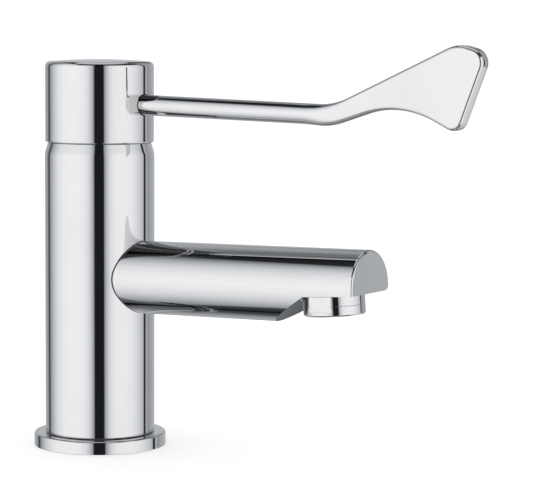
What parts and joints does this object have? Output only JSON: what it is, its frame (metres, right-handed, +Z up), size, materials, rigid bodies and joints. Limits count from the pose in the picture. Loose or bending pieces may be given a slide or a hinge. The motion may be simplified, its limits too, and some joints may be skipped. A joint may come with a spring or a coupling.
{
  "type": "elbow lever tap",
  "caption": "Deck-mounted elbow lever tap: upright round column, straight outlet spout and a long rod lever that ends in an upswept fish-tail paddle.",
  "frame": {"origin": "centre of the base ring on the deck plane, on the column's axis", "axes": "+X along the spout and the closed lever, +Z up the column, +Y to the left of the spout"},
  "size_m": [0.2019, 0.0544, 0.1657],
  "materials": {
    "chrome": "polished chrome plate on brass",
    "raw_brass": "turned, unplated",
    "steel": "stainless, as machined",
    "seal_rubber": "matt black",
    "dark_plastic": "matt dark grey",
    "pale_plastic": "matt off-white",
    "ceramic": "lapped ceramic"
  },
  "bodies": {
    "tap_body": {"column": "chrome", "base_ring": "chrome", "base_gasket": "seal_rubber", "spout": "chrome", "aerator_housing": "chrome", "aerator_insert": "pale_plastic", "aerator_grid": "dark_plastic", "aerator_washer": "seal_rubber", "cartridge_base": "pale_plastic", "port_seal_cold": "seal_rubber", "port_seal_hot": "seal_rubber", "port_seal_outlet": "seal_rubber", "fixed_disc": "ceramic", "cartridge_housing": "pale_plastic", "spindle_seal": "seal_rubber", "cartridge_nut": "raw_brass", "stop_ring": "dark_plastic", "slide_ring": "dark_plastic"},
    "lever_head": {"cap": "chrome", "cap_hub": "raw_brass", "lever": "chrome", "grub_screw": "steel", "cap_plug": "chrome", "spindle": "raw_brass", "disc_carrier": "pale_plastic", "moving_disc": "ceramic"}
  },
  "joints": [
    {"name": "lever_turn", "type": "hinge", "parent": "tap_body", "child": "lever_head", "pos_m": [0, 0, 0.1414], "axis": [0, 0, 1], "range_deg": [0, 100]}
  ]
}
